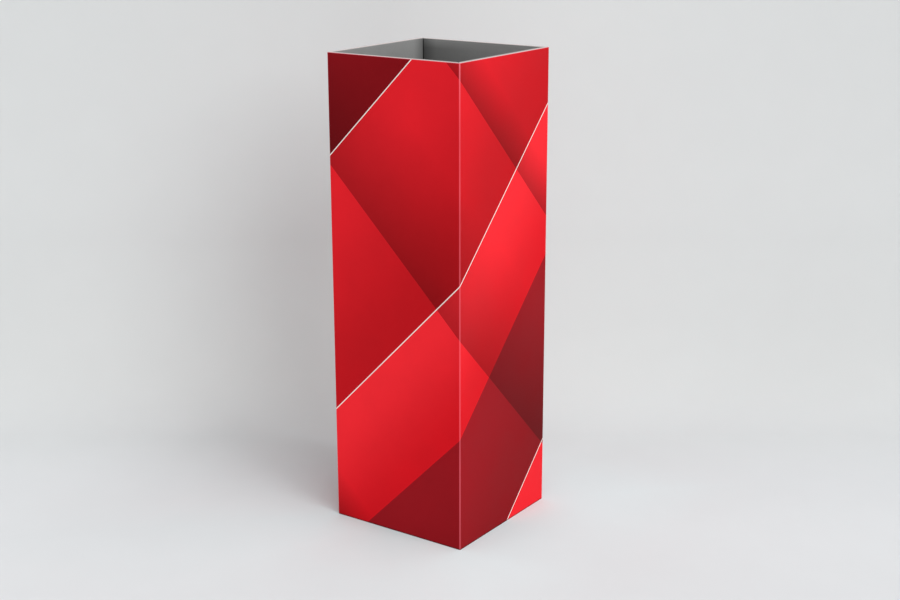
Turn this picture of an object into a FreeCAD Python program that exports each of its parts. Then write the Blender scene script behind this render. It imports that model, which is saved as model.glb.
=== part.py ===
"""Square display stand: one thick board, V-grooved on its inside and folded into an open tube.

The board runs round a square section that stands on its cut edge. Three of its corners are folds,
where the outer liner runs round in one piece over a closed V-groove. At the fourth corner, at the
back and left, the two ends of the board meet in a glued mitre. Both ends of the tube are open.

Lengths are in millimetres. X runs to the right, Y to the back and Z up. The origin is the middle of
the footprint, on the surface that the stand rests on.
"""

import FreeCAD, Part
import os
import Sketcher

SHEET = "Sizes"
DRIVING_SIZES = (
    ("panel_width", 400, "outside width of each of the four panels"),
    ("panel_height", 1240, "from the surface the stand rests on to its top rim"),
    ("board_thickness", 16, "the whole board, with both liners"),
    ("liner_thickness", 1.2, "what a V-groove leaves of the board at its bottom"),
    ("fold_radius", 3, "outside radius of the liner round a fold"),
    ("groove_opening", 2, "how far each lip of a V-groove or of the glued mitre stands off the inside corner"),
    ("groove_lip_radius", 0.4, "crushed edge of the inner liner beside a V-groove"),
    ("seam_radius", 1, "outside radius of the glued corner"),
    ("seam_opening", 0.8, "how far each end of the outer liner stops short of the glued corner"),
    ("seam_gap_depth", 4, "how far the glued mitre stays open from the inside corner outwards"),
    ("rim_bevel", 0.5, "crushed edge of both liners round the cut rims"),
)

FOLD_COUNT = 3
QUARTER_TURN = 90

# The corners of the section, as the signs of X and Y there
FRONT_LEFT = (-1, -1)
BACK_LEFT = (-1, 1)

ORIGIN_POINT = (-1, 1)
START, END = 1, 2


def write_sizes(document):
    """Fills the sheet with one driving size in each row."""
    sheet = document.addObject("Spreadsheet::Sheet", SHEET)
    for row, (alias, value, meaning) in enumerate(DRIVING_SIZES, start=1):
        sheet.set(f"A{row}", alias)
        sheet.set(f"B{row}", str(value))
        sheet.set(f"C{row}", meaning)
        sheet.setAlias(f"B{row}", alias)
    document.recompute()
    return sheet


def size(name):
    """The expression that reads one driving size."""
    return f"{SHEET}.{name}"


HALF_WIDTH = f"{size('panel_width')} / 2"
HALF_CLEAR_WIDTH = f"{HALF_WIDTH} - {size('board_thickness')}"
LIP = f"{HALF_CLEAR_WIDTH} - {size('groove_opening')}"


def liner_depth(corner_radius):
    """How far inside both outer faces a cut's tip lies, with one liner left at the rounded corner."""
    off_the_corner = f"(sqrt(2) - 1) * {size(corner_radius)}"
    return f"({off_the_corner} + {size('liner_thickness')}) / sqrt(2)"


def floor_sketch(body, label):
    """A new sketch on the body's own XY plane, which is the surface that the stand rests on."""
    floor = next(plane for plane in body.Origin.OriginFeatures if plane.Role == "XY_Plane")
    sketch = body.newObject("Sketcher::SketchObject", label)
    sketch.AttachmentSupport = [(floor, "")]
    sketch.MapMode = "FlatFace"
    return sketch


def draw_outline(sketch, corners):
    """Draws a closed outline of straight lines, with rough corners, and joins the lines' ends."""
    count = len(corners)
    for index, start in enumerate(corners):
        end = corners[(index + 1) % count]
        line = Part.LineSegment(FreeCAD.Vector(*start, 0), FreeCAD.Vector(*end, 0))
        sketch.addGeometry(line, False)
    for index in range(count):
        following = (index + 1) % count
        sketch.addConstraint(Sketcher.Constraint("Coincident", index, END, following, START))


def place_corner(sketch, index, signs, reaches):
    """Ties one corner of an outline to how far it reaches from the origin along X and along Y."""
    corner = (index, START)
    rough = sketch.getPoint(*corner)
    for axis, rough_reach, sign, reach in zip("XY", rough, signs, reaches):
        low, high = (corner, ORIGIN_POINT) if sign < 0 else (ORIGIN_POINT, corner)
        distance = Sketcher.Constraint(f"Distance{axis}", *low, *high, abs(rough_reach))
        name = f"corner_{index}_{axis.lower()}"
        sketch.renameConstraint(sketch.addConstraint(distance), name)
        sketch.setExpression(f"Constraints.{name}", reach)


def square_section(body, label, half_width):
    """A square about the origin, for an expression of half its width."""
    quadrants = ((-1, -1), (1, -1), (1, 1), (-1, 1))
    sketch = floor_sketch(body, label)
    draw_outline(sketch, quadrants)
    for index, signs in enumerate(quadrants):
        place_corner(sketch, index, signs, (half_width, half_width))
    return sketch


def kite_section(body, label, signs, tip, near_side, far_side, end):
    """A kite across one corner of the section, alike on both sides of the mitre line.

    Its tip and its end lie on the mitre line. Each side corner reaches near_side from one middle
    line of the section and far_side from the other.
    """
    rough_kite = ((4, 4), (1, 2), (1, 1), (2, 1))
    reaches = ((tip, tip), (near_side, far_side), (end, end), (far_side, near_side))
    sketch = floor_sketch(body, label)
    draw_outline(sketch, [(signs[0] * x, signs[1] * y) for x, y in rough_kite])
    for index, corner_reaches in enumerate(reaches):
        place_corner(sketch, index, signs, corner_reaches)
    return sketch


def cut_upwards(body, sketch, label):
    """Cuts a section on the floor plane out of the body's whole height."""
    volume_before = body.Shape.Volume
    cut = body.newObject("PartDesign::Pocket", label)
    cut.Profile = sketch
    cut.Type = "ThroughAll"
    cut.Reversed = True
    body.Document.recompute()
    if not cut.Shape.Volume < volume_before:
        raise ValueError(f"{label} cuts nothing")
    return cut


def edges_where(feature, test):
    """The names of a feature's edges whose middle points pass the test."""
    return [
        f"Edge{index}"
        for index, edge in enumerate(feature.Shape.Edges, start=1)
        if test(edge.valueAt((edge.FirstParameter + edge.LastParameter) / 2))
    ]


def round_edges(body, base, label, radius, test):
    """Rounds the edges of the base that pass the test."""
    rounding = body.newObject("PartDesign::Fillet", label)
    rounding.Base = (base, edges_where(base, test))
    rounding.setExpression("Radius", size(radius))
    body.Document.recompute()
    return rounding


def add_block(body):
    """The outside of the folded board, before it is opened."""
    block = body.newObject("PartDesign::Pad", "FoldedOutside")
    block.Profile = square_section(body, "OutsideSection", HALF_WIDTH)
    block.setExpression("Length", size("panel_height"))
    body.Document.recompute()
    return block


def round_outside(body, block, sheet):
    """Rounds the outside of the three folds to the liner's bend, and the glued corner by less."""

    def is_upright(point):
        return 0 < point.z < sheet.panel_height

    def is_glued(point):
        return is_upright(point) and point.x < 0 < point.y

    def is_folded(point):
        return is_upright(point) and not is_glued(point)

    folded = round_edges(body, block, "FoldRadii", "fold_radius", is_folded)
    return round_edges(body, folded, "SeamRadius", "seam_radius", is_glued)


def open_inside(body):
    """Cuts the inside of the tube, which leaves the board's thickness all round."""
    return cut_upwards(body, square_section(body, "InsideSection", HALF_CLEAR_WIDTH), "OpenInside")


def bevel_rims(body, tube, sheet):
    """Bevels the liners' edges round the top and bottom rims, where the board was cut."""

    def is_rim(point):
        return min(abs(point.z), abs(point.z - sheet.panel_height)) < sheet.rim_bevel / 2

    bevels = body.newObject("PartDesign::Chamfer", "RimBevels")
    bevels.Base = (tube, edges_where(tube, is_rim))
    bevels.setExpression("Size", size("rim_bevel"))
    body.Document.recompute()
    return bevels


def cut_fold_grooves(body):
    """Cuts the closed V-groove of the front left fold, and repeats it at the other two folds.

    The groove's tip leaves the outer liner whole, and its lips part a little at the inside corner.
    """
    section = kite_section(
        body,
        "GrooveSection",
        FRONT_LEFT,
        tip=f"{HALF_WIDTH} - {liner_depth('fold_radius')}",
        near_side=LIP,
        far_side=HALF_CLEAR_WIDTH,
        end=LIP,
    )
    groove = cut_upwards(body, section, "FrontLeftGroove")
    folds = body.newObject("PartDesign::PolarPattern", "FoldGrooves")
    folds.Originals = [groove]
    folds.Axis = (section, ["N_Axis"])
    folds.Angle = QUARTER_TURN * (FOLD_COUNT - 1)
    folds.Occurrences = FOLD_COUNT
    body.Tip = folds
    body.Document.recompute()
    if not folds.Shape.Volume < groove.Shape.Volume:
        raise ValueError("the V-groove isn't repeated at the other folds")
    return folds


def cut_seam_gap(body):
    """Cuts the narrow opening that the glued mitre keeps at its inside corner."""
    section = kite_section(
        body,
        "SeamGapSection",
        BACK_LEFT,
        tip=f"{HALF_CLEAR_WIDTH} + {size('seam_gap_depth')}",
        near_side=LIP,
        far_side=HALF_CLEAR_WIDTH,
        end=LIP,
    )
    return cut_upwards(body, section, "SeamGap")


def round_groove_lips(body, grooved, sheet):
    """Rounds the inner liner's crushed edges beside the V-grooves and the mitre's gap."""
    inner_face = sheet.panel_width / 2 - sheet.board_thickness
    lip = inner_face - sheet.groove_opening
    tolerance = sheet.groove_opening / 10

    def is_lip(point):
        nearer, further = sorted((abs(point.x), abs(point.y)))
        beside_groove = abs(nearer - lip) < tolerance and abs(further - inner_face) < tolerance
        return beside_groove and sheet.rim_bevel < point.z < sheet.panel_height - sheet.rim_bevel

    return round_edges(body, grooved, "GrooveLips", "groove_lip_radius", is_lip)


def cut_seam_line(body):
    """Cuts the shallow V down the outside of the glued corner, where the liner's two ends meet."""
    section = kite_section(
        body,
        "SeamSection",
        BACK_LEFT,
        tip=f"{HALF_WIDTH} - {liner_depth('seam_radius')}",
        near_side=f"{HALF_WIDTH} - {size('seam_opening')}",
        far_side=HALF_WIDTH,
        end=HALF_WIDTH,
    )
    return cut_upwards(body, section, "SeamLine")


def build_sleeve(document, sheet):
    """The folded board, which is the whole stand."""
    body = document.addObject("PartDesign::Body", "sleeve")
    body.Label = "sleeve"
    block = add_block(body)
    round_outside(body, block, sheet)
    tube = open_inside(body)
    bevel_rims(body, tube, sheet)
    cut_fold_grooves(body)
    gapped = cut_seam_gap(body)
    round_groove_lips(body, gapped, sheet)
    cut_seam_line(body)
    body.Placement = FreeCAD.Placement()
    return body


def check_document(document):
    """Stops if any object of the document failed."""
    for item in document.Objects:
        if "Invalid" in item.State or "Error" in item.State:
            raise ValueError(f"{item.Label} is {item.State}")


def write_piece(piece):
    """Checks one sub-part's shape and writes it under the sub-part's name."""
    shape = piece.Shape
    if shape.isNull() or not shape.isValid():
        raise ValueError(f"{piece.Label} has no valid shape")
    shape.exportStep(os.path.join("parts", f"{piece.Label}.step"))
    print(f"{piece.Label}: {len(shape.Solids)} solid, {shape.Volume / 1e6:.3f} litres")


def main():
    """Builds the stand and writes its sub-part."""
    os.makedirs("parts", exist_ok=True)
    document = FreeCAD.newDocument("DisplayStand")
    sheet = write_sizes(document)
    pieces = [build_sleeve(document, sheet)]
    document.recompute()
    check_document(document)
    for piece in pieces:
        write_piece(piece)


main()
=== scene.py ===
"""Looks of a tall square display stand, folded from one thick printed board.

The board is modelled as one piece with its folds, closed V-grooves, glued corner and cut rims. Its
outside is printed with straight slanting fields in reds, its inside is grey liner and its cut rims
are pale paper. Lengths are in metres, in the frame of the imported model.
"""

import logging
import math
from collections.abc import Iterable
from dataclasses import dataclass, field
from enum import Enum

import bmesh
import bpy
from bmesh.types import BMesh, BMEdge, BMFace, BMVert
from bpy.types import Material, Node, NodeSocket, NodeTree, Object
from mathutils import Matrix, Vector


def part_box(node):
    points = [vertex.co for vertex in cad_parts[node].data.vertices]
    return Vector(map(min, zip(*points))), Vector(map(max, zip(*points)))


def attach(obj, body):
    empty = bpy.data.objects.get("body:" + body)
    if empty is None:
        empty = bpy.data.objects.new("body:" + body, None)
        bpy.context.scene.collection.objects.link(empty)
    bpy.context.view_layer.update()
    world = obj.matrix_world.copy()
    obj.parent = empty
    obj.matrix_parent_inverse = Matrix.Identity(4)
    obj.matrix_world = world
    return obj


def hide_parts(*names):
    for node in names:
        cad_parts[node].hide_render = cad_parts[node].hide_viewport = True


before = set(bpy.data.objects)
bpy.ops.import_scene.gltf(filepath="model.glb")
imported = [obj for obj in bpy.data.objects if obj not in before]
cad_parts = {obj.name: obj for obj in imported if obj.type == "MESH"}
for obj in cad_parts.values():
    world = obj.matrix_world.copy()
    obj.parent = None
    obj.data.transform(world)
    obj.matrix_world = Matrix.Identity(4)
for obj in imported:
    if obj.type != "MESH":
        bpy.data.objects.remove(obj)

LOG = logging.getLogger("display_stand")
BOARD_NODE = "sleeve"
ROOT_BODY = "root"
WRAP_MAP = "wrap"

# The range that soft noise mostly fills
NOISE_RANGE = (0.3, 0.7)

# An upright face has less than this of its normal along Z
UPRIGHT_LIMIT = 0.5

Colour = tuple[float, float, float]
Number = float | NodeSocket
Point = tuple[float, float, float]
Range = tuple[float, float]
Triple = tuple[float, float, float]


def srgb(code: str) -> Colour:
    """Turns a printed colour into the linear one that a shader takes.

    Args:
        code: six hexadecimal digits, as in "c01522".

    Returns:
        Red, green and blue from 0 to 1, in linear light.
    """
    shares = (int(code[start : start + 2], 16) / 255 for start in (0, 2, 4))
    red, green, blue = (
        share / 12.92 if share <= 0.04045 else ((share + 0.055) / 1.055) ** 2.4 for share in shares
    )
    return (red, green, blue)


class Surface(Enum):
    """The three kinds of surface on the board, in the order of its material slots."""

    PRINT = 0
    CUT_EDGE = 1
    INNER_LINER = 2


class NodeBench:
    """Puts shader nodes on one tree and joins them up."""

    def __init__(self, tree: NodeTree) -> None:
        """Keeps the tree.

        Args:
            tree: the material's or group's node tree.
        """
        self.tree = tree

    def add(self, kind: str, *values: object, **settings: object) -> Node:
        """Adds one node.

        Args:
            kind: the node's type name, without its ShaderNode prefix.
            values: its first inputs in order.
            settings: properties to set on the node.

        Returns:
            The new node.
        """
        node = self.tree.nodes.new(f"ShaderNode{kind}")
        for name, value in settings.items():
            setattr(node, name, value)
        for socket, value in zip(node.inputs, values):
            self.feed(socket, value)
        return node

    def feed(self, socket: NodeSocket, value: object) -> None:
        """Links a socket to another, or sets its value.

        Args:
            socket: the input to fill.
            value: an output socket, a number or a tuple.
        """
        if isinstance(value, NodeSocket):
            self.tree.links.new(value, socket)
        else:
            socket.default_value = value

    def math(self, operation: str, *values: Number, clamp: bool = False) -> NodeSocket:
        """Adds a Math node.

        Args:
            operation: its operation.
            values: its inputs in order.
            clamp: whether the result is kept from 0 to 1.

        Returns:
            Its result.
        """
        return self.add("Math", *values, operation=operation, use_clamp=clamp).outputs[0]

    def ramp(
        self,
        value: Number,
        low: float,
        high: float,
        start: float = 0,
        end: float = 1,
        smooth: bool = False,
    ) -> NodeSocket:
        """Maps a range of a value to another, and holds it at the ends.

        Args:
            value: what is mapped.
            low: the value that gives start.
            high: the value that gives end.
            start: the result at low and below.
            end: the result at high and above.
            smooth: whether the ramp eases in and out.

        Returns:
            The mapped value.
        """
        easing = "SMOOTHSTEP" if smooth else "LINEAR"
        values = (value, low, high, start, end)
        return self.add("MapRange", *values, interpolation_type=easing, clamp=True).outputs[0]

    def curve(self, value: Number, points: tuple[Range, ...]) -> NodeSocket:
        """Maps a value through a smooth curve.

        Args:
            value: what is mapped.
            points: each point's value, in order, and its result from 0 to 1.

        Returns:
            The mapped value.
        """
        low, high = points[0][0], points[-1][0]
        node = self.add("FloatCurve")
        self.feed(node.inputs["Value"], self.ramp(value, low, high))
        line = node.mapping.curves[0]
        places = [((at - low) / (high - low), result) for at, result in points]
        line.points[0].location = places[0]
        line.points[1].location = places[-1]
        for at, result in places[1:-1]:
            line.points.new(at, result)
        node.mapping.update()
        return node.outputs[0]

    def mix(self, share: Number, first: object, second: object, blend: str = "MIX") -> NodeSocket:
        """Mixes two colours.

        Args:
            share: how much of the second, from 0 to 1.
            first: a colour or a socket.
            second: a colour or a socket.
            blend: the blend type.

        Returns:
            The mixed colour.
        """
        node = self.add("Mix", data_type="RGBA", blend_type=blend)
        self.feed(node.inputs["Factor"], share)
        for socket, value in ((node.inputs[6], first), (node.inputs[7], second)):
            self.feed(socket, (*value, 1.0) if isinstance(value, tuple) else value)
        return node.outputs[2]

    def combine(self, *values: Number) -> NodeSocket:
        """Makes a colour from its red, green and blue."""
        return self.add("CombineColor", *values).outputs[0]

    def shade(self, colour: object, value: Number) -> NodeSocket:
        """Multiplies a colour by a value."""
        return self.mix(1.0, colour, self.combine(value, value, value), "MULTIPLY")

    def split(self, vector: object) -> list[NodeSocket]:
        """Gives the three values of a vector."""
        return list(self.add("SeparateXYZ", vector).outputs)

    def along(self, vector: object, direction: Point) -> NodeSocket:
        """Measures a vector along a direction of length 1."""
        return self.add("VectorMath", vector, direction, operation="DOT_PRODUCT").outputs["Value"]

    def reach(self, place: object) -> NodeSocket:
        """Measures how far out a point lies from the middle, square to the nearest panel."""
        across, backwards, _ = self.split(place)
        return self.math("MAXIMUM", self.math("ABSOLUTE", across), self.math("ABSOLUTE", backwards))

    def vary(self, noise: Number, least: float, most: float) -> NodeSocket:
        """Maps soft noise to a range of its own."""
        return self.ramp(noise, *NOISE_RANGE, least, most)

    def noise(
        self, vector: object, scale: float, detail: float = 3, roughness: float = 0.5
    ) -> NodeSocket:
        """Adds soft noise.

        Args:
            vector: the coordinates.
            scale: how many features there are to the metre.
            detail: how many finer layers it has.
            roughness: how strong the finer layers are.

        Returns:
            Its value, about 0.5 on average.
        """
        node = self.add("TexNoise", vector)
        node.inputs["Scale"].default_value = scale
        node.inputs["Detail"].default_value = detail
        node.inputs["Roughness"].default_value = roughness
        return node.outputs["Fac"]


def new_group(name: str, inputs: dict[str, float | None], outputs: Iterable[str]) -> NodeTree:
    """Makes an empty shader group with its sockets.

    Args:
        name: the group's name.
        inputs: each input's name and its default number, or None where it is a vector.
        outputs: the names of its outputs, which are all numbers.

    Returns:
        The group, with its Group Input and Group Output nodes.
    """
    tree = bpy.data.node_groups.new(name, "ShaderNodeTree")
    for label, default in inputs.items():
        kind = "NodeSocketVector" if default is None else "NodeSocketFloat"
        socket = tree.interface.new_socket(name=label, in_out="INPUT", socket_type=kind)
        if default is not None:
            socket.default_value = default
    for label in outputs:
        tree.interface.new_socket(name=label, in_out="OUTPUT", socket_type="NodeSocketFloat")
    return tree


@dataclass
class PaperEffects:
    """The shader groups that the paper surfaces share.

    Args:
        felt_scale: how many fibres of the felt there are to the metre.
        fleck_scale: how many places for a fleck there are to the metre.
        fleck_range: the noise at which a fleck starts to show, and shows fully.
        cloud_scale: how many clouds there are to the metre.
        wave_scale: how many slow waves there are to the metre.
        cell_size: how wide a cell is.
        cell_jitter: how uneven the cells are, from 0 to 1.
        cell_wall: how much of a cell its wall's slope takes.
        fibre: the group for a paper's fibre.
        relief: the group for the board's relief.
    """

    felt_scale: float = 1400
    fleck_scale: float = 420
    fleck_range: Range = (0.62, 0.74)
    cloud_scale: float = 9
    wave_scale: float = 2.6
    cell_size: float = 0.014
    cell_jitter: float = 0.35
    cell_wall: float = 0.3
    fibre: NodeTree = field(init=False)
    relief: NodeTree = field(init=False)

    def __post_init__(self) -> None:
        """Builds both groups once."""
        self.fibre = self._build_fibre()
        self.relief = self._build_relief()

    def _build_fibre(self) -> NodeTree:
        """Builds the paper's fibre: a fine felt, sparse flecks and slow clouds.

        Returns:
            The group, with outputs Felt, Flecks and Clouds, each from 0 to 1.
        """
        inputs = {"Vector": None, "Stretch": 1.0}
        tree = new_group("paper_fibre", inputs, ("Felt", "Flecks", "Clouds"))
        bench = NodeBench(tree)
        entry = tree.nodes.new("NodeGroupInput")
        exit_ = tree.nodes.new("NodeGroupOutput")
        vector, level = entry.outputs["Vector"], entry.outputs["Stretch"]
        stretch = bench.add("CombineXYZ", level, level, 1.0).outputs[0]
        along = bench.add("VectorMath", vector, stretch, operation="MULTIPLY").outputs[0]
        felt = bench.noise(along, self.felt_scale, detail=4, roughness=0.6)
        bench.feed(exit_.inputs["Felt"], felt)
        flecks = bench.noise(along, self.fleck_scale, detail=2, roughness=0.7)
        bench.feed(exit_.inputs["Flecks"], bench.ramp(flecks, *self.fleck_range))
        bench.feed(exit_.inputs["Clouds"], bench.noise(vector, self.cloud_scale))
        return tree

    def _build_relief(self) -> NodeTree:
        """Builds the board's own relief: slow waves, and the faint cells that show through a liner.

        Returns:
            The group, with outputs Cells and Waves, each from 0 to 1.
        """
        inputs = {"Vector": None, "Cell Size": self.cell_size}
        tree = new_group("board_relief", inputs, ("Cells", "Waves"))
        bench = NodeBench(tree)
        entry = tree.nodes.new("NodeGroupInput")
        exit_ = tree.nodes.new("NodeGroupOutput")
        vector = entry.outputs["Vector"]
        per_metre = bench.math("DIVIDE", 1.0, entry.outputs["Cell Size"])
        cells = bench.add("TexVoronoi", vector, feature="DISTANCE_TO_EDGE")
        bench.feed(cells.inputs["Scale"], per_metre)
        cells.inputs["Randomness"].default_value = self.cell_jitter
        inside = bench.ramp(cells.outputs["Distance"], 0.0, self.cell_wall, smooth=True)
        bench.feed(exit_.inputs["Cells"], inside)
        waves = bench.noise(vector, self.wave_scale, detail=1, roughness=0.4)
        bench.feed(exit_.inputs["Waves"], waves)
        return tree


class Paper:
    """A paper material under way, with the outputs that its finish is made from."""

    def __init__(self, name: str, effects: PaperEffects, stretch: float = 1.0) -> None:
        """Starts the material with the paper's fibre.

        Args:
            name: the material's name.
            effects: the shared shader groups.
            stretch: how much the fibres are drawn out, from 1 for not at all.
        """
        self.effects = effects
        self.material = bpy.data.materials.new(name)
        self.material.use_nodes = True
        self.bench = NodeBench(self.material.node_tree)
        self.shader = self.material.node_tree.nodes["Principled BSDF"]
        self.place = self.bench.add("TexCoord").outputs["Object"]
        fibre = self.bench.add("Group", self.place, stretch, node_tree=effects.fibre)
        self.felt, self.flecks, self.clouds = fibre.outputs

    def mottle(self, clouds: Range, felt: Range) -> NodeSocket:
        """Adds an uneven tone, from the least and most of the clouds' and of the felt's."""
        cloudy, felted = self.bench.vary(self.clouds, *clouds), self.bench.vary(self.felt, *felt)
        return self.bench.math("MULTIPLY", cloudy, felted)

    def emboss(self, heights: Iterable[float], reliefs: Iterable[NodeSocket]) -> None:
        """Adds reliefs to the shader's normal, one on another.

        Args:
            heights: how many metres 1 is in each relief.
            reliefs: each relief, from 0 to 1.
        """
        normal = None
        for distance, relief in zip(heights, reliefs):
            bump = self.bench.add("Bump", 1.0, distance)
            self.bench.feed(bump.inputs["Height"], relief)
            if normal is not None:
                self.bench.feed(bump.inputs["Normal"], normal)
            normal = bump.outputs[0]
        self.bench.feed(self.shader.inputs["Normal"], normal)

    def emboss_board(self, heights: Triple) -> None:
        """Adds the board's relief and the felt's to the shader's normal.

        Args:
            heights: how many metres 1 is in the waves, in the cells and in the felt.
        """
        cells, waves = self.bench.add("Group", self.place, node_tree=self.effects.relief).outputs
        self.emboss(heights, (waves, cells, self.felt))

    def finish(self, colour: NodeSocket, roughness: NodeSocket, gloss: float = 0.5) -> Material:
        """Feeds the shader.

        Args:
            colour: the paper's colour.
            roughness: its roughness.
            gloss: the strength of its reflections.

        Returns:
            The finished material.
        """
        self.bench.feed(self.shader.inputs["Base Color"], colour)
        self.bench.feed(self.shader.inputs["Roughness"], roughness)
        self.shader.inputs["Specular IOR Level"].default_value = gloss
        return self.material


@dataclass(frozen=True)
class PrintField:
    """One slanting field of the print.

    Args:
        start: where it begins, up from the lowest field's lower edge, in metres.
        low: its colour at its lower edge.
        high: its colour at its upper edge.
    """

    start: float
    low: Colour
    high: Colour


@dataclass(frozen=True)
class SlantingPrint:
    """The print round the outside: broad fields that climb round the stand at one slope.

    Args:
        way_round: the length once round the outside.
        offset: how high the lowest field begins at the front left fold.
        fields: the fields from the lowest up.
        line_starts: where the thin pale lines run, up from the lowest field's lower edge.
        line_width: the width of the pale lines.
        line_colour: their colour.
        sheets: the lower and upper edge of each darker sheet that falls the other way.
        sheet_shade: how much light such a sheet keeps.
        ink_edge: half the width over which one ink gives way to another.
    """

    way_round: float
    offset: float = -0.10
    fields: tuple[PrintField, ...] = (
        PrintField(0.0, srgb("dc101d"), srgb("ff2a34")),
        PrintField(0.40, srgb("c4111b"), srgb("f0202b")),
        PrintField(1.08, srgb("860b14"), srgb("9a121c")),
    )
    line_starts: tuple[float, ...] = (0.40, 1.08)
    line_width: float = 0.0024
    line_colour: Colour = srgb("fff7f2")
    sheets: tuple[Range, ...] = ((0.96, 1.34), (0.0, 0.14))
    sheet_shade: float = 0.52
    ink_edge: float = 0.0003

    def paint(self, bench: NodeBench, along: Number, height: Number) -> NodeSocket:
        """Adds the nodes that give the print's colour.

        Args:
            bench: the material's nodes.
            along: how far round the outside a point lies, in metres.
            height: how high it lies, in metres.

        Returns:
            The colour.
        """
        climb = bench.math("SUBTRACT", height, along)
        rise = bench.math("WRAP", climb, self.offset + self.way_round, self.offset)
        level = bench.math("SUBTRACT", rise, self.offset)
        ends = [*(item.start for item in self.fields[1:]), self.way_round]
        colour = None
        for item, end in zip(self.fields, ends):
            tone = bench.mix(bench.ramp(level, item.start, end, smooth=True), item.low, item.high)
            if colour is not None:
                tone = bench.mix(self._past(bench, level, item.start), colour, tone)
            colour = tone
        fall = bench.math("WRAP", bench.math("ADD", height, along), self.way_round, 0.0)
        for low, high in self.sheets:
            begun, going_on = self._past(bench, fall, low), self._before(bench, fall, high)
            inside = bench.math("MULTIPLY", begun, going_on)
            depth = bench.ramp(fall, low, high, self.sheet_shade, 1.0)
            loss = bench.math("SUBTRACT", depth, 1.0)
            colour = bench.shade(colour, bench.math("MULTIPLY_ADD", inside, loss, 1.0))
        half_line = self.line_width * math.sqrt(2) / 2
        for start in self.line_starts:
            off_line = bench.math("ABSOLUTE", bench.math("SUBTRACT", level, start))
            line = self._before(bench, off_line, half_line)
            colour = bench.mix(line, colour, self.line_colour)
        return colour

    def _past(self, bench: NodeBench, value: Number, edge: float) -> NodeSocket:
        """Adds a mask that is 1 where a value is past an ink's edge."""
        return bench.ramp(value, edge - self.ink_edge, edge + self.ink_edge)

    def _before(self, bench: NodeBench, value: Number, edge: float) -> NodeSocket:
        """Adds a mask that is 1 where a value is short of an ink's edge."""
        return bench.ramp(value, edge - self.ink_edge, edge + self.ink_edge, 1, 0)


@dataclass(frozen=True)
class PrintedLiner:
    """The printed outer liner: satin ink on smooth paper, worn pale along the folds with a painted
    highlight there, and a painted contact shadow along its bottom edge.

    Args:
        print_design: the print.
        panel: the outside width of one panel.
        height: the stand's height.
        fold_wear_and_highlight: from where to where off a fold's middle the line of worn ink and
        painted highlight fades.
        rim_wear: the same down from the top rim.
        wear_and_highlight_share: the least and most worn ink and painted highlight along a fold.
        wear_and_highlight_patches: from what to what of the paper's clouds the wear and painted
        highlight grow.
        corner_wear_and_highlight: how far down from the top rim a fold has more wear and painted
        highlight, and by what share.
        scuffed: from where to where above the floor the painted contact shadow along the bottom
        edge fades, and what it keeps of the ink's tone.
        worn_ink: the colour of worn ink, pale enough to serve as a painted highlight.
        clouds: the least and most tone of the paper's clouds.
        felt: the least and most tone of its felt.
        roughness: the least and most roughness.
        worn_roughness: what full wear adds to it.
        gloss: the strength of reflections.
        relief: the height of the board's waves, of its cells and of the felt.
    """

    print_design: SlantingPrint
    panel: float
    height: float
    # Worn ink along the folds and the top rim, with a painted highlight on the folds, stronger near
    # the top
    fold_wear_and_highlight: Range = (0.0016, 0.0030)
    rim_wear: Range = (0.0004, 0.0016)
    wear_and_highlight_share: Range = (0.30, 0.38)
    wear_and_highlight_patches: Range = (0.35, 0.65)
    corner_wear_and_highlight: Range = (0.11, 0.35)
    # A painted contact shadow along the print's bottom edge
    scuffed: Triple = (0.0012, 0.0042, 0.36)
    worn_ink: Colour = srgb("ff7d8c")
    clouds: Range = (0.97, 1.03)
    felt: Range = (0.985, 1.015)
    roughness: Range = (0.42, 0.52)
    worn_roughness: float = 0.3
    gloss: float = 0.05
    relief: Triple = (0.0006, 0.000012, 0.000006)

    def material(self, effects: PaperEffects) -> Material:
        """Builds the material.

        Args:
            effects: the shared shader groups.

        Returns:
            The material.
        """
        paper = Paper("printed_liner", effects)
        bench = paper.bench
        along, height, _ = bench.split(bench.add("UVMap", uv_map=WRAP_MAP).outputs[0])
        colour = self.print_design.paint(bench, along, height)
        colour = bench.shade(colour, paper.mottle(self.clouds, self.felt))
        # Worn ink and a painted highlight along the folds, and worn ink along the top rim
        worn = self._wear_and_highlight(bench, along, height, paper.clouds)
        colour = bench.mix(worn, colour, self.worn_ink)
        # Painted contact shadow along the bottom edge
        low, high, kept = self.scuffed
        colour = bench.shade(colour, bench.ramp(height, low, high, kept, 1.0, smooth=True))
        satin = bench.vary(paper.clouds, *self.roughness)
        rough = bench.math("MULTIPLY_ADD", worn, self.worn_roughness, satin, clamp=True)
        paper.emboss_board(self.relief)
        return paper.finish(colour, rough, self.gloss)

    def _wear_and_highlight(self, bench: NodeBench, along: Number, height: Number, clouds: Number) -> NodeSocket:
        """Adds the mask of worn ink on the folds and rims, and of painted highlight on the folds.

        Args:
            bench: the material's nodes.
            along: how far round the outside a point lies.
            height: how high it lies.
            clouds: the paper's clouds.

        Returns:
            The share of worn ink and painted highlight, from 0 to 1.
        """
        half = self.panel / 2
        from_fold = bench.math("ABSOLUTE", bench.math("WRAP", along, half, -half))
        from_rim = bench.math("SUBTRACT", self.height, height)
        folds = bench.ramp(from_fold, *self.fold_wear_and_highlight, 1, 0, smooth=True)
        rim = bench.ramp(from_rim, *self.rim_wear, 1, 0, smooth=True)
        reach, more = self.corner_wear_and_highlight
        patchy = bench.math(
            "ADD",
            bench.ramp(clouds, *self.wear_and_highlight_patches, *self.wear_and_highlight_share),
            bench.ramp(from_rim, 0.0, reach, more, 0.0, smooth=True),
        )
        return bench.math("MULTIPLY", bench.math("MAXIMUM", folds, rim), patchy)


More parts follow.
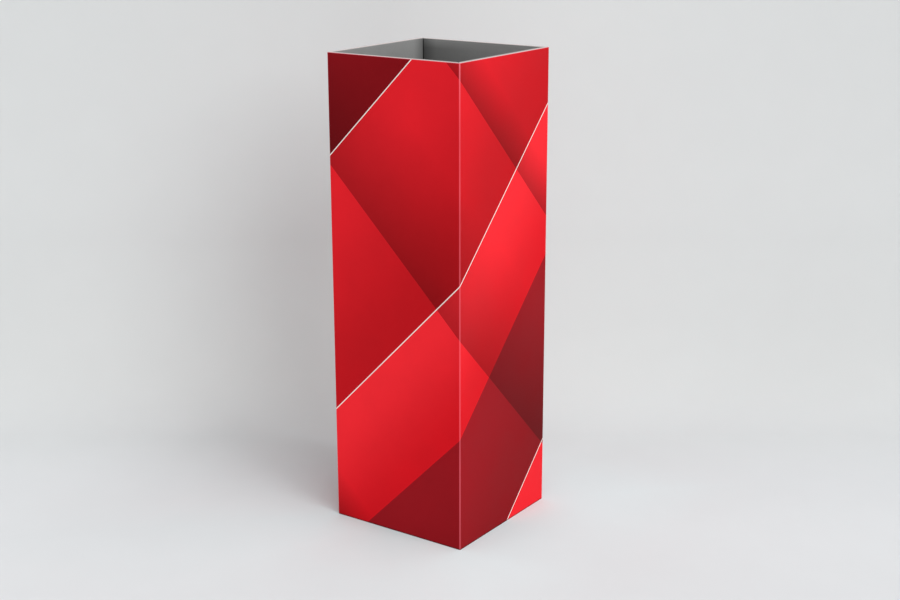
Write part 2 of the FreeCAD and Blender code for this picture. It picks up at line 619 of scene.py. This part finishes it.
@dataclass(frozen=True)
class CutEdge:
    """The board's cut edge: pale paper between its liners' edges, greyer towards the inside.

    Args:
        half_width: half the stand's width.
        liner: the liners' thickness.
        core: the paper's colour.
        outer_liner: the colour of the outer liner's edge, which took some ink.
        inner_grey: the colour towards the inside.
        greys: from where to where inwards from the outside the paper greys.
        liner_edge: half the width over which the liner's edge gives way to the core.
        ply_turns: how many radians of the plies' wave there are to the metre.
        ply_shade: how much a ply is darker or lighter.
        felt: the least and most tone of the felt.
        fibre_stretch: how much the fibres are drawn out along the edge, from 1 for not at all.
        roughness: the least and most roughness.
        relief: the height of the felt and of the plies.
    """

    half_width: float
    liner: float
    core: Colour = srgb("d6ccca")
    outer_liner: Colour = srgb("cf9fa1")
    inner_grey: Colour = srgb("8a8886")
    greys: Range = (0.004, 0.0125)
    liner_edge: float = 0.0002
    ply_turns: float = 5200.0
    ply_shade: float = 0.02
    felt: Range = (0.93, 1.03)
    fibre_stretch: float = 0.3
    roughness: Range = (0.8, 0.95)
    relief: Range = (0.00006, 0.00002)

    def material(self, effects: PaperEffects) -> Material:
        """Builds the material.

        Args:
            effects: the shared shader groups.

        Returns:
            The material.
        """
        paper = Paper("cut_edge", effects, self.fibre_stretch)
        bench, felt = paper.bench, paper.felt
        depth = bench.math("SUBTRACT", self.half_width, bench.reach(paper.place))
        liner_ends = (self.liner - self.liner_edge, self.liner + self.liner_edge)
        on_liner = bench.ramp(depth, *liner_ends, 1, 0)
        greyed = bench.ramp(depth, *self.greys, smooth=True)
        core = bench.mix(greyed, self.core, self.inner_grey)
        colour = bench.mix(on_liner, core, self.outer_liner)
        plies = bench.math("SINE", bench.math("MULTIPLY", depth, self.ply_turns))
        uneven = bench.math("MULTIPLY_ADD", plies, self.ply_shade, bench.vary(felt, *self.felt))
        paper.emboss(self.relief, (felt, plies))
        return paper.finish(bench.shade(colour, uneven), bench.vary(felt, *self.roughness))


@dataclass(frozen=True)
class InnerLiner:
    """The plain inner liner: grey recycled paper with flecks, with painted shade in the corner and
    lower down.

    Args:
        inner: half the clear width inside.
        top: the height of the top rim.
        base: the paper's colour.
        fleck: its flecks' colour.
        fleck_share: how strongly a fleck shows.
        clouds: the least and most tone of the paper's clouds.
        felt: the least and most tone of its felt.
        roughness: the least and most roughness.
        relief: the height of the board's waves, of its cells and of the felt.
        glued: from where to where off the glued corner the painted shade clears, and what the paper
        keeps of its tone there.
        depth_shade: how far down the painted shade deepens, and what the paper keeps of its tone
            there.
        back_shade: how far from the glued corner the painted shade on the back panel reaches, and
        what the paper keeps at the corner.
        back_depth: from where to where down that shade sets in.
        back_face: from where to where off the back panel's inside the shade ends.
    """

    inner: float
    top: float
    base: Colour = srgb("969695")
    fleck: Colour = srgb("5f5e5c")
    fleck_share: float = 0.35
    clouds: Range = (0.94, 1.05)
    felt: Range = (0.95, 1.05)
    roughness: Range = (0.78, 0.92)
    relief: Triple = (0.0006, 0.00003, 0.00003)
    # Painted shade: darker in the glued corner, further down and on the back panel near the corner
    glued: Triple = (0.0, 0.042, 0.52)
    depth_shade: Range = (0.10, 0.80)
    back_shade: Range = (0.25, 0.53)
    back_depth: Range = (0.004, 0.024)
    back_face: Range = (0.0002, 0.002)

    def material(self, effects: PaperEffects) -> Material:
        """Builds the material.

        Args:
            effects: the shared shader groups.

        Returns:
            The material.
        """
        paper = Paper("inner_liner", effects)
        bench = paper.bench
        flecked = bench.math("MULTIPLY", paper.flecks, self.fleck_share)
        colour = bench.mix(flecked, self.base, self.fleck)
        uneven = paper.mottle(self.clouds, self.felt)
        tone = bench.math("MULTIPLY", uneven, self._painted_shade(bench, paper.place))
        paper.emboss_board(self.relief)
        return paper.finish(bench.shade(colour, tone), bench.vary(paper.felt, *self.roughness))

    def _painted_shade(self, bench: NodeBench, place: NodeSocket) -> NodeSocket:
        """Adds the painted shade along the glued corner, further down and on the back panel near
        it.

        Args:
            bench: the material's nodes.
            place: the object's coordinates.

        Returns:
            What the paper keeps of its tone, from 0 to 1.
        """
        across, backwards, upwards = bench.split(place)
        from_left = bench.math("ADD", across, self.inner)
        from_back = bench.math("SUBTRACT", self.inner, backwards)
        near, far, kept = self.glued
        # Painted shade in the glued corner
        off_corner = bench.math("MAXIMUM", from_left, from_back)
        corner_shading = bench.ramp(off_corner, near, far, kept, 1.0)
        depth = bench.math("SUBTRACT", self.top, upwards)
        # Painted shade that deepens further down
        deep, kept_down = self.depth_shade
        depth_shading = bench.ramp(depth, 0.0, deep, 1.0, kept_down)
        # Painted shade on the back panel near the glued corner, setting in below the rim
        reach, kept_back = self.back_shade
        loss = bench.ramp(from_left, 0.0, reach, 1.0 - kept_back, 0.0)
        on_back = bench.ramp(from_back, *self.back_face, 1, 0)
        sets_in = bench.math("MULTIPLY", on_back, bench.ramp(depth, *self.back_depth))
        back = bench.math("SUBTRACT", 1.0, bench.math("MULTIPLY", loss, sets_in))
        return bench.math("MULTIPLY", bench.math("MULTIPLY", corner_shading, depth_shading), back)


@dataclass
class FoldedBoard:
    """The one board of the stand, folded into a square tube.

    Args:
        low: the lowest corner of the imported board.
        high: its highest corner.
        board: the whole board's thickness.
        liner: what a V-groove leaves at its tip.
        fold_radius: outside radius of a fold.
        groove_opening: how far each lip of a V-groove or of the glued mitre stands off the
            inside corner.
        lip_bevel: how far the crushed edge of a lip reaches.
        seam_radius: outside radius that the glued corner would have without its notch.
        seam_opening: how far each end of the outer liner stops short of the glued corner.
        seam_gap_depth: how far the glued mitre stays open from the inside corner outwards.
        seam_bevel: how far the crushed edge of a liner's end reaches.
        rim_bevel: crushed edge of both liners round the cut rims.
        rows: how many rows of faces a panel has between its rims.
        fold_segments: how many faces round a fold.
        small_segments: how many faces round a small edge.
        name: what the piece is called.
        merge_distance: how close two points must lie to be made one.
        sharp_angle: the bend in degrees past which two faces meet in a sharp edge.
        groove_slant: how much the two level parts of a normal may differ on a groove's side.
        outer_share: how much of a fold's radius still counts as the outside.
        rim_level: how level a face of a cut rim is at least, at the outside and at the inside.
    """

    low: Vector
    high: Vector
    board: float = 0.016
    liner: float = 0.0012
    fold_radius: float = 0.003
    groove_opening: float = 0.002
    lip_bevel: float = 0.0004
    seam_radius: float = 0.001
    seam_opening: float = 0.0008
    seam_gap_depth: float = 0.004
    seam_bevel: float = 0.0002
    rim_bevel: float = 0.0005
    rows: int = 12
    fold_segments: int = 8
    small_segments: int = 2
    name: str = "folded_board"
    merge_distance: float = 1e-6
    sharp_angle: float = 32
    groove_slant: float = 0.35
    outer_share: float = 0.6
    rim_level: Range = (0.95, 0.8)
    placed: Object | None = field(default=None, init=False)

    @property
    def half(self) -> float:
        """Half the outside width."""
        return (self.high.x - self.low.x) / 2

    @property
    def panel(self) -> float:
        """The outside width of one panel."""
        return 2 * self.half

    @property
    def height(self) -> float:
        """The height of the stand."""
        return self.high.z - self.low.z

    @property
    def inner(self) -> float:
        """Half the clear width inside."""
        return self.half - self.board

    @property
    def lip(self) -> float:
        """How far a groove's lip lies from the middle, along its panel."""
        return self.inner - self.groove_opening

    @property
    def notch_tip(self) -> float:
        """How far out the notch of the glued corner ends, along X and Y alike."""
        return self._tip(self.seam_radius)

    def _tip(self, corner_radius: float) -> float:
        """Finds where a cut ends that leaves one liner at a rounded corner.

        Args:
            corner_radius: the corner's outside radius.

        Returns:
            How far from the middle it ends, along X and Y alike.
        """
        off_the_corner = (math.sqrt(2) - 1) * corner_radius
        return self.half - (off_the_corner + self.liner) / math.sqrt(2)

    def build(self, materials: dict[Surface, Material]) -> Object:
        """Models the board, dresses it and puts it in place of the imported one.

        Args:
            materials: a material for each kind of surface.

        Returns:
            The finished object.
        """
        shape = bmesh.new()
        self._lay_out_section(shape)
        self._raise_panels(shape)
        self._round_edges(shape)
        self._add_rows(shape)
        bmesh.ops.recalc_face_normals(shape, faces=shape.faces)
        self._sort_surfaces(shape)
        self._wrap_outside(shape)
        self.placed = place_shape(self.name, shape, [materials[surface] for surface in Surface])
        self.placed.data.set_sharp_from_angle(angle=math.radians(self.sharp_angle))
        flat_panels = self.placed.modifiers.new("flat_panels", "WEIGHTED_NORMAL")
        flat_panels.keep_sharp = True
        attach(self.placed, ROOT_BODY)
        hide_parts(BOARD_NODE)
        return self.placed

    def _lay_out_section(self, shape: BMesh) -> None:
        """Draws the sections of the front and left panels, and mirrors them across the mitre line.

        A panel's end is given from the outside in, as how far each point lies along the panel from
        its middle, and how far out.

        Args:
            shape: the empty shape to draw in.
        """
        fold_tip = self._tip(self.fold_radius)
        gap_tip = self.inner + self.seam_gap_depth
        lip = (self.lip, self.inner)
        fold_end = ((self.half, self.half), (fold_tip, fold_tip), lip)
        seam_end = (
            (self.half - self.seam_opening, self.half),
            (self.notch_tip, self.notch_tip),
            (gap_tip, gap_tip),
            lip,
        )
        front = [
            *((along, -out) for along, out in fold_end),
            *((-along, -out) for along, out in reversed(fold_end)),
        ]
        left = [
            *((-out, -along) for along, out in fold_end),
            *((-out, along) for along, out in reversed(seam_end)),
        ]
        for outline in (front, left):
            shape.faces.new([shape.verts.new((x, y, self.low.z)) for x, y in outline])
        drawn = [*shape.verts, *shape.edges, *shape.faces]
        across_mitre = Matrix.Rotation(math.pi / 4, 4, "Z")
        bmesh.ops.mirror(shape, geom=drawn, matrix=across_mitre, merge_dist=0, axis="Y")
        bmesh.ops.remove_doubles(shape, verts=shape.verts, dist=self.merge_distance)
        bmesh.ops.recalc_face_normals(shape, faces=shape.faces)

    def _raise_panels(self, shape: BMesh) -> None:
        """Raises the section to the stand's height.

        Args:
            shape: the drawn section.
        """
        raised = bmesh.ops.extrude_face_region(shape, geom=shape.faces[:])
        verts = [item for item in raised["geom"] if isinstance(item, BMVert)]
        bmesh.ops.translate(shape, verts=verts, vec=(0, 0, self.height))

    def _round_edges(self, shape: BMesh) -> None:
        """Rounds the folds, the ends of the liner at the glued corner, the lips and the rims.

        Args:
            shape: the raised board.
        """
        corners = (
            ((self.half, self.half), self.fold_radius, self.fold_segments),
            ((self.half - self.seam_opening, self.half), self.seam_bevel, self.small_segments),
            ((self.lip, self.inner), self.lip_bevel, self.small_segments),
        )
        for place, offset, segments in corners:
            edges = [edge for edge in shape.edges if self._stands_at(edge, *place)]
            bevel(shape, edges, offset, segments)
        bmesh.ops.recalc_face_normals(shape, faces=shape.faces)
        rims = [edge for edge in shape.edges if self._is_crushed_rim(edge)]
        bevel(shape, rims, self.rim_bevel, self.small_segments)
        bmesh.ops.remove_doubles(shape, verts=shape.verts, dist=self.merge_distance)

    def _stands_at(self, edge: BMEdge, near: float, far: float) -> bool:
        """Tells whether an edge stands upright at a place of the section.

        Args:
            edge: the edge.
            near: how far the place lies from the nearer of the section's middle lines.
            far: how far it lies from the other.

        Returns:
            Whether it stands there.
        """
        middle = (edge.verts[0].co + edge.verts[1].co) / 2
        reaches = sorted((abs(middle.x), abs(middle.y)))
        off = max(abs(reaches[0] - near), abs(reaches[1] - far))
        return self._is_upright(edge) and off < self.merge_distance

    def _is_crushed_rim(self, edge: BMEdge) -> bool:
        """Tells whether an edge is a liner's edge round a rim, and not a groove's or the notch's.

        Args:
            edge: the edge.

        Returns:
            Whether it is.
        """
        ends = [vert.co for vert in edge.verts]
        level = abs(ends[0].z - ends[1].z) < self.merge_distance
        walls = [face for face in edge.link_faces if abs(face.normal.z) < UPRIGHT_LIMIT]
        slants = [abs(abs(wall.normal.x) - abs(wall.normal.y)) for wall in walls]
        on_groove = any(slant < self.groove_slant for slant in slants)
        outside = all(max(abs(end.x), abs(end.y)) > self.half - self.fold_radius for end in ends)
        in_notch = any(self._faces_notch(wall) for wall in walls)
        return level and len(walls) == 1 and not in_notch and (outside or not on_groove)

    def _add_rows(self, shape: BMesh) -> None:
        """Divides the walls into rows between the rims.

        Args:
            shape: the rounded board.
        """
        upright = filter(self._is_upright, shape.edges)
        tall = [edge for edge in upright if edge.calc_length() > self.height / 2]
        bmesh.ops.subdivide_edges(shape, edges=tall, cuts=self.rows - 1, use_grid_fill=True)

    def _sort_surfaces(self, shape: BMesh) -> None:
        """Gives each face the slot of its kind of surface."""
        for face in shape.faces:
            face.material_index = self._surface_of(face).value

    def _surface_of(self, face: BMFace) -> Surface:
        """Tells a face's kind of surface by its place.

        Args:
            face: one face of the finished shape.

        Returns:
            Its kind.
        """
        middle = face.calc_center_median()
        reach = max(abs(middle.x), abs(middle.y))
        outside = reach > self.half - self.outer_share * self.fold_radius
        outer_level, inner_level = self.rim_level
        level = outer_level if outside else inner_level
        if abs(face.normal.z) > level or self._faces_notch(face):
            return Surface.CUT_EDGE
        return Surface.PRINT if outside else Surface.INNER_LINER

    def _faces_notch(self, face: BMFace) -> bool:
        """Tells whether a face is a side of the notch down the outside of the glued corner.

        Args:
            face: the face.

        Returns:
            Whether it is.
        """
        tip = Vector((-self.notch_tip, self.notch_tip))
        touches = any((vert.co.xy - tip).length < self.merge_distance for vert in face.verts)
        return touches and abs(face.normal.z) < UPRIGHT_LIMIT

    def _wrap_outside(self, shape: BMesh) -> None:
        """Writes the map that holds how far round and how high each corner of a face lies.

        Args:
            shape: the finished board.
        """
        wrap = shape.loops.layers.uv.new(WRAP_MAP)
        for face in shape.faces:
            side = self._side_of(face.calc_center_median())
            for loop in face.loops:
                place = loop.vert.co
                loop[wrap].uv = (self._way_round(place, side), place.z - self.low.z)

    @staticmethod
    def _side_of(place: Vector) -> int:
        """Tells which panel a point is nearest.

        Args:
            place: the point.

        Returns:
            0 for the front, 1 for the right, 2 for the back and 3 for the left.
        """
        if abs(place.y) >= abs(place.x):
            return 0 if place.y < 0 else 2
        return 1 if place.x > 0 else 3

    def _way_round(self, place: Vector, side: int) -> float:
        """Measures how far a point lies round the outside, from the front left fold.

        Args:
            place: the point.
            side: the panel that it belongs to.

        Returns:
            The length in metres.
        """
        turned = Matrix.Rotation(-side * math.pi / 2, 3, "Z") @ place
        middle = side * self.panel + self.half
        flat = self.half - self.fold_radius
        over, down = abs(turned.x) - flat, -turned.y - flat
        if over > 0 and down > 0:
            bend = self.fold_radius * math.atan2(over, down) * 4 / math.pi
            return middle + math.copysign(flat + bend, turned.x)
        return middle + turned.x

    def _is_upright(self, edge: BMEdge) -> bool:
        """Tells whether an edge runs straight up."""
        rise = edge.verts[1].co - edge.verts[0].co
        return rise.xy.length < self.merge_distance < abs(rise.z)


def place_object(name: str, data: bpy.types.ID) -> Object:
    """Puts a new object in the scene.

    Args:
        name: what it is called.
        data: its mesh, camera or light.

    Returns:
        The object.
    """
    placed = bpy.data.objects.new(name, data)
    bpy.context.scene.collection.objects.link(placed)
    return placed


def place_shape(name: str, shape: BMesh, materials: Iterable[Material]) -> Object:
    """Puts a finished shape in the scene as a smooth mesh.

    Args:
        name: what the object and its mesh are called.
        shape: the shape, which is freed.
        materials: its materials, in the order of its slots.

    Returns:
        The object.
    """
    mesh = bpy.data.meshes.new(name)
    shape.to_mesh(mesh)
    shape.free()
    mesh.shade_smooth()
    for material in materials:
        mesh.materials.append(material)
    return place_object(name, mesh)


def bevel(shape: BMesh, edges: Iterable[BMEdge], offset: float, segments: int) -> None:
    """Rounds edges.

    Args:
        shape: the shape that they belong to.
        edges: the edges to round.
        offset: how far the rounding reaches from each edge.
        segments: how many faces it has across.
    """
    bmesh.ops.bevel(
        shape,
        geom=list(edges),
        offset=offset,
        offset_type="OFFSET",
        segments=segments,
        profile=0.5,
        affect="EDGES",
        clamp_overlap=True,
        material=-1,
    )


@dataclass(frozen=True)
class PhotoCamera:
    """The camera, placed as the photograph shows the stand.

    Args:
        place: where it stands, in metres.
        yaw: how far it turns from +Y towards +X, in degrees.
        pitch: how far it looks down, in degrees.
        roll: how far it leans, in degrees.
        focal_px: its focal length in pixels of the photograph.
        frame_px: the photograph's width in pixels.
        sensor: the sensor's width in millimetres.
    """

    place: Point = (2.178, -3.066, 1.673)
    yaw: float = -35.011
    pitch: float = 16.121
    roll: float = -0.144
    focal_px: float = 1488.98
    frame_px: float = 900.0
    sensor: float = 36.0

    def build(self) -> Object:
        """Makes the camera the scene's own.

        Returns:
            The camera.
        """
        data = bpy.data.cameras.new("camera")
        data.sensor_width = self.sensor
        data.lens = self.focal_px / self.frame_px * self.sensor
        camera = place_object("camera", data)
        turn = Matrix.Rotation(math.radians(-self.yaw), 4, "Z")
        tilt = Matrix.Rotation(math.radians(90 - self.pitch), 4, "X")
        lean = Matrix.Rotation(math.radians(self.roll), 4, "Z")
        camera.matrix_world = Matrix.Translation(self.place) @ turn @ tilt @ lean
        bpy.context.scene.camera = camera
        return camera


@dataclass(frozen=True)
class SoftLight:
    """One wide soft light, far away, so that it falls alike on the whole floor.

    Args:
        name: what it is called.
        bearing: which way it lies from the stand, in degrees from +X towards +Y.
        rise: how far above the level it lies, in degrees.
        spread: how wide it looks from the stand, in degrees.
        strength: the light it throws on a face turned to it, in watts per square metre.
    """

    name: str
    bearing: float
    rise: float
    spread: float
    strength: float

    def build(self) -> Object:
        """Hangs the light.

        Returns:
            The light.
        """
        data = bpy.data.lights.new(self.name, "SUN")
        data.angle = math.radians(self.spread)
        data.energy = self.strength
        lamp = place_object(self.name, data)
        bearing, rise = math.radians(self.bearing), math.radians(self.rise)
        flat = Vector((math.cos(bearing), math.sin(bearing), 0.0)) * math.cos(rise)
        outwards = flat + Vector((0.0, 0.0, math.sin(rise)))
        lamp.rotation_euler = (-outwards).to_track_quat("-Z", "Y").to_euler()
        return lamp


@dataclass(frozen=True)
class PaintedFloorLight:
    """A painted pool of light on the sweep on one side of the stand, a painted shadow when its gain
    is below 0.

    Args:
        bearing: which way that side lies, in degrees from +X towards +Y.
        side: the shares of that way at which it sets in and is full, from 1 for straight that
            way to -1 for away from it.
        fades: from where to where off the footprint it fades.
        gain: what it adds to the tone, as painted light, and below 0 as painted shadow.
        red_gain: what it adds to the red alone, painted against the stand's red light on the floor.
    """

    bearing: float
    side: Range
    fades: Range
    gain: float
    red_gain: float = 0.0


@dataclass(frozen=True)
class Studio:
    """A pale paper sweep behind and under the stand, with plain soft light and painted shading.

    Args:
        half_stand: half the stand's width.
        facing: how far the sweep's wall is turned, in degrees, as the camera's yaw.
        behind: how far behind the stand's middle the wall stands.
        in_front: how far the floor reaches in front of the middle.
        width: how wide the sweep is.
        wall: how high its wall is.
        bend: the radius of the bend between floor and wall.
        bend_segments: how many faces the bend has.
        paper: the sweep's own colour.
        ambient: the strength of the light from all round.
        sweep_shading: the paper's painted light and shade along the sweep, each from so far behind
        the stand's middle, then up the wall.
        painted_light_round_stand: the painted shadows and pools of light round the stand.
        red_kept: how far from the footprint the floor is painted less red, against the red light
            that
        the stand throws on it, and what it keeps near and far.
        floor_blue: from where to where along the sweep its blue fades, and how strong that is
            on the floor.
        clouds: the least and most tone of the paper's clouds.
        roughness: the least and most roughness.
        gloss: the strength of reflections.
        seen_strength: how bright what lies past the sweep looks, about as the floor.
        seen_colour: its colour, about as the floor.
        lights: the soft lights.
    """

    half_stand: float
    facing: float = -34.791
    behind: float = 1.0
    in_front: float = 7.0
    width: float = 16.0
    wall: float = 7.0
    bend: float = 0.5
    bend_segments: int = 24
    paper: Colour = srgb("e1e2e2")
    ambient: float = 0.454
    # Painted light and shade along the sweep, darkest round the bend
    sweep_shading: tuple[Range, ...] = (
        (-0.5, 0.947), (-0.16, 0.946), (0.10, 0.913), (0.40, 0.885), (0.70, 0.836), (0.92, 0.811),
        (1.03, 0.806), (1.22, 0.822), (1.39, 0.874), (1.48, 0.915), (1.60, 0.936), (1.80, 0.941),
    )
    # Painted shadows and pools of light round the stand, with painted loss of its red bounce light
    painted_light_round_stand: tuple[PaintedFloorLight, ...] = (
        PaintedFloorLight(165.0, (0.10, 1.0), (0.30, 0.90), -0.12),
        PaintedFloorLight(30.0, (-0.70, 0.5), (0.05, 0.45), 0.12, -0.035),
        PaintedFloorLight(-102.0, (0.75, 0.97), (0.0, 0.22), 0.0, -0.055),
        PaintedFloorLight(-102.0, (0.70, 0.97), (0.2, 0.8), 0.02, -0.045),
        PaintedFloorLight(5.0, (0.75, 0.97), (0.0, 0.22), 0.0, -0.03),
        PaintedFloorLight(5.0, (0.75, 0.97), (0.2, 1.0), 0.015, -0.01),
        PaintedFloorLight(112.0, (0.74, 0.99), (0.9, 1.8), 0.065, -0.01),
    )
    # Painted loss of red near the stand, against the red light it throws on the floor
    red_kept: Triple = (0.4, 0.95, 0.984)
    floor_blue: Triple = (0.2, 0.9, 1.02)
    clouds: Range = (0.995, 1.005)
    roughness: Range = (0.9, 0.98)
    gloss: float = 0.2
    seen_strength: float = 0.775
    seen_colour: Colour = (0.955, 0.982, 1.0)
    lights: tuple[SoftLight, ...] = (
        SoftLight("key_light", -30.0, 24.0, 32.0, 1.05),
        SoftLight("high_light", -5.0, 50.0, 25.0, 0.88),
        SoftLight("overhead_light", -60.0, 80.0, 45.0, 0.6),
    )

    def build(self, effects: PaperEffects) -> Object:
        """Puts up the sweep, the lamps and the light all round.

        Args:
            effects: the shared shader groups.

        Returns:
            The sweep.
        """
        sweep = self._sweep(effects)
        for light in self.lights:
            light.build()
        bpy.context.scene.world = self._room()
        bpy.context.scene.view_settings.view_transform = "Standard"
        return sweep

    def _room(self) -> bpy.types.World:
        """Makes the even light all round, and what is seen past the sweep.

        Returns:
            The world.
        """
        world = bpy.data.worlds.new("soft_room")
        world.use_nodes = True
        bench = NodeBench(world.node_tree)
        background = world.node_tree.nodes["Background"]
        path = bench.add("LightPath")
        seen = bench.math("MAXIMUM", path.outputs["Is Camera Ray"], path.outputs["Is Glossy Ray"])
        seen = bench.math("MAXIMUM", seen, path.outputs["Is Transmission Ray"])
        strength = bench.ramp(seen, 0.0, 1.0, self.ambient, self.seen_strength)
        bench.feed(background.inputs["Strength"], strength)
        bench.feed(background.inputs["Color"], bench.mix(seen, (1.0, 1.0, 1.0), self.seen_colour))
        return world

    def _sweep(self, effects: PaperEffects) -> Object:
        """Models the sweep: a floor that bends up into a wall.

        Args:
            effects: the shared shader groups.

        Returns:
            The sweep.
        """
        shape = bmesh.new()
        half = self.width / 2
        front = [shape.verts.new((x, -self.in_front, 0)) for x in (-half, half)]
        edge = shape.edges.new(front)
        back = self._pull(shape, edge, (0, self.behind + self.in_front, 0))
        self._pull(shape, back, (0, 0, self.wall))
        corner = [item for item in shape.edges if len(item.link_faces) == 2]
        bevel(shape, corner, self.bend, self.bend_segments)
        downward = [face for face in shape.faces if face.normal.dot((0.0, -1.0, 1.0)) < 0]
        bmesh.ops.reverse_faces(shape, faces=downward)
        turn = Matrix.Rotation(-math.radians(self.facing), 3, "Z")
        bmesh.ops.rotate(shape, verts=shape.verts, cent=(0, 0, 0), matrix=turn)
        return place_shape("paper_sweep", shape, [self._paper_material(effects)])

    @staticmethod
    def _pull(shape: BMesh, edge: BMEdge, along: Point) -> BMEdge:
        """Pulls a new face out of an edge.

        Args:
            shape: the shape that it belongs to.
            edge: the edge to pull.
            along: which way and how far.

        Returns:
            The face's far edge.
        """
        pulled = bmesh.ops.extrude_edge_only(shape, edges=[edge])["geom"]
        verts = [item for item in pulled if isinstance(item, BMVert)]
        bmesh.ops.translate(shape, verts=verts, vec=along)
        return next(item for item in pulled if isinstance(item, BMEdge))

    def _paper_material(self, effects: PaperEffects) -> Material:
        """Builds the sweep's matt paper, with painted light and shade on it.

        Args:
            effects: the shared shader groups.

        Returns:
            The material.
        """
        paper = Paper("sweep_paper", effects)
        bench, place = paper.bench, paper.place
        facing = math.radians(self.facing)
        behind = bench.along(place, (math.sin(facing), math.cos(facing), 0.0))
        along = bench.math("ADD", behind, bench.split(place)[2])
        # Painted light and shade along the sweep and round the stand, and a painted loss of red
        # near it
        gain, red = self._paint_light_round_stand(bench, place)
        tone = bench.math("MULTIPLY", bench.curve(along, self.sweep_shading), gain)
        shade = bench.math("MULTIPLY", tone, bench.vary(paper.clouds, *self.clouds))
        balance = bench.combine(red, 1.0, bench.ramp(along, *self.floor_blue, 1.0))
        colour = bench.mix(1.0, bench.shade(self.paper, shade), balance, "MULTIPLY")
        self._clear_from_behind(bench, paper.shader)
        return paper.finish(colour, bench.vary(paper.felt, *self.roughness), self.gloss)

    def _paint_light_round_stand(self, bench: NodeBench, place: NodeSocket) -> tuple[Number, Number]:
        """Adds the painted shadows and pools of light round the stand, and the painted loss of red.

        Args:
            bench: the material's nodes.
            place: the object's coordinates.

        Returns:
            What the paper's tone is multiplied by, and what its red is multiplied by.
        """
        distance = bench.math("SUBTRACT", bench.reach(place), self.half_stand)
        level = bench.add("VectorMath", place, (1.0, 1.0, 0.0), operation="MULTIPLY").outputs[0]
        outwards = bench.add("VectorMath", level, operation="NORMALIZE").outputs[0]
        gain: Number = 1.0
        # Painted loss of red, against the stand's red light on the floor
        fades, red_near, red_far = self.red_kept
        red: Number = bench.ramp(distance, 0.0, fades, red_near, red_far)
        for change in self.painted_light_round_stand:
            bearing = math.radians(change.bearing)
            that_way = (math.cos(bearing), math.sin(bearing), 0.0)
            there = bench.ramp(bench.along(outwards, that_way), *change.side)
            nearness = bench.ramp(distance, *change.fades, 1, 0, smooth=True)
            here = bench.math("MULTIPLY", there, nearness)
            gain = bench.math("MULTIPLY_ADD", here, change.gain, gain)
            red = bench.math("MULTIPLY_ADD", here, change.red_gain, red)
        return gain, red

    @staticmethod
    def _clear_from_behind(bench: NodeBench, shader: Node) -> None:
        """Lets the camera look through the sweep from its back.

        Args:
            bench: the material's nodes.
            shader: the sweep's own shader.
        """
        from_behind = bench.math(
            "MULTIPLY",
            bench.add("NewGeometry").outputs["Backfacing"],
            bench.add("LightPath").outputs["Is Camera Ray"],
        )
        clear = bench.add("BsdfTransparent").outputs[0]
        choice = bench.add("MixShader", from_behind, shader.outputs[0], clear)
        output = bench.tree.nodes["Material Output"]
        bench.feed(output.inputs["Surface"], choice.outputs[0])


def main() -> None:
    """Builds the stand and the studio round it."""
    logging.basicConfig(level=logging.INFO, format="%(name)s: %(message)s")
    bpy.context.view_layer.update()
    effects = PaperEffects()
    low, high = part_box(BOARD_NODE)
    stand = FoldedBoard(low, high)
    materials = {
        Surface.PRINT: PrintedLiner(
            SlantingPrint(way_round=4 * stand.panel), stand.panel, stand.height
        ).material(effects),
        Surface.CUT_EDGE: CutEdge(stand.half, stand.liner).material(effects),
        Surface.INNER_LINER: InnerLiner(stand.inner, stand.high.z).material(effects),
    }
    board = stand.build(materials)
    LOG.info("%s: %d faces", board.name, len(board.data.polygons))
    PhotoCamera().build()
    sweep = Studio(stand.half).build(effects)
    LOG.info("%s is up", sweep.name)


if __name__ == "__main__":
    main()
